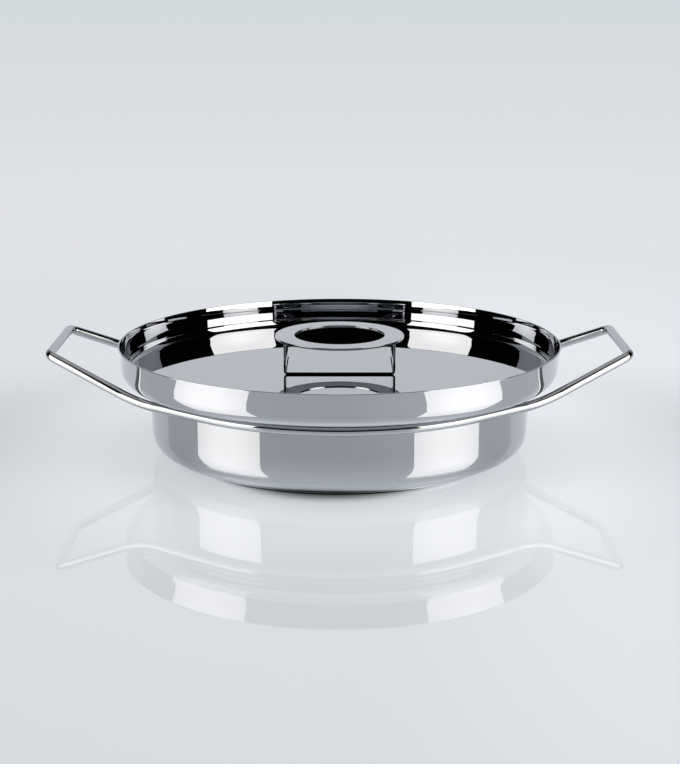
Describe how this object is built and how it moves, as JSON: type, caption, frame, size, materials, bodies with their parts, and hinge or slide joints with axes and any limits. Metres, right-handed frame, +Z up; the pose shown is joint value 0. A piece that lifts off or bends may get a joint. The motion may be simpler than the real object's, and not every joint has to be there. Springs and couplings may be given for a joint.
{
  "type": "saute pan",
  "caption": "Low polished steel pan with a continuous bent-rod pair of grips and a wide lift-off dish lid carrying a flat ring knob.",
  "frame": {"origin": "centre of the base, on the surface the pan stands on", "axes": "+Z up, +X and -X along the two grips, -Y towards the front"},
  "size_m": [0.362, 0.28, 0.0733],
  "materials": {
    "body_steel": "mirror-polished stainless steel",
    "base_steel": "satin stainless steel",
    "core_aluminium": "plain rolled sheet",
    "rod_steel": "mirror-polished stainless steel",
    "lid_steel": "mirror-polished stainless steel",
    "knob_steel": "fine satin stainless steel"
  },
  "bodies": {
    "pan": {"pan_body": "body_steel", "core_disc": "core_aluminium", "base_cap": "base_steel", "handle_rod": "rod_steel"},
    "lid": {"lid_dish": "lid_steel", "lid_locating_ring": "lid_steel", "knob_strap": "knob_steel", "knob_ring": "knob_steel"}
  },
  "joints": [
    {"name": "lid_lift", "type": "slide", "parent": "pan", "child": "lid", "axis": [0, 0, 1], "range_m": [0, 0.12]}
  ]
}
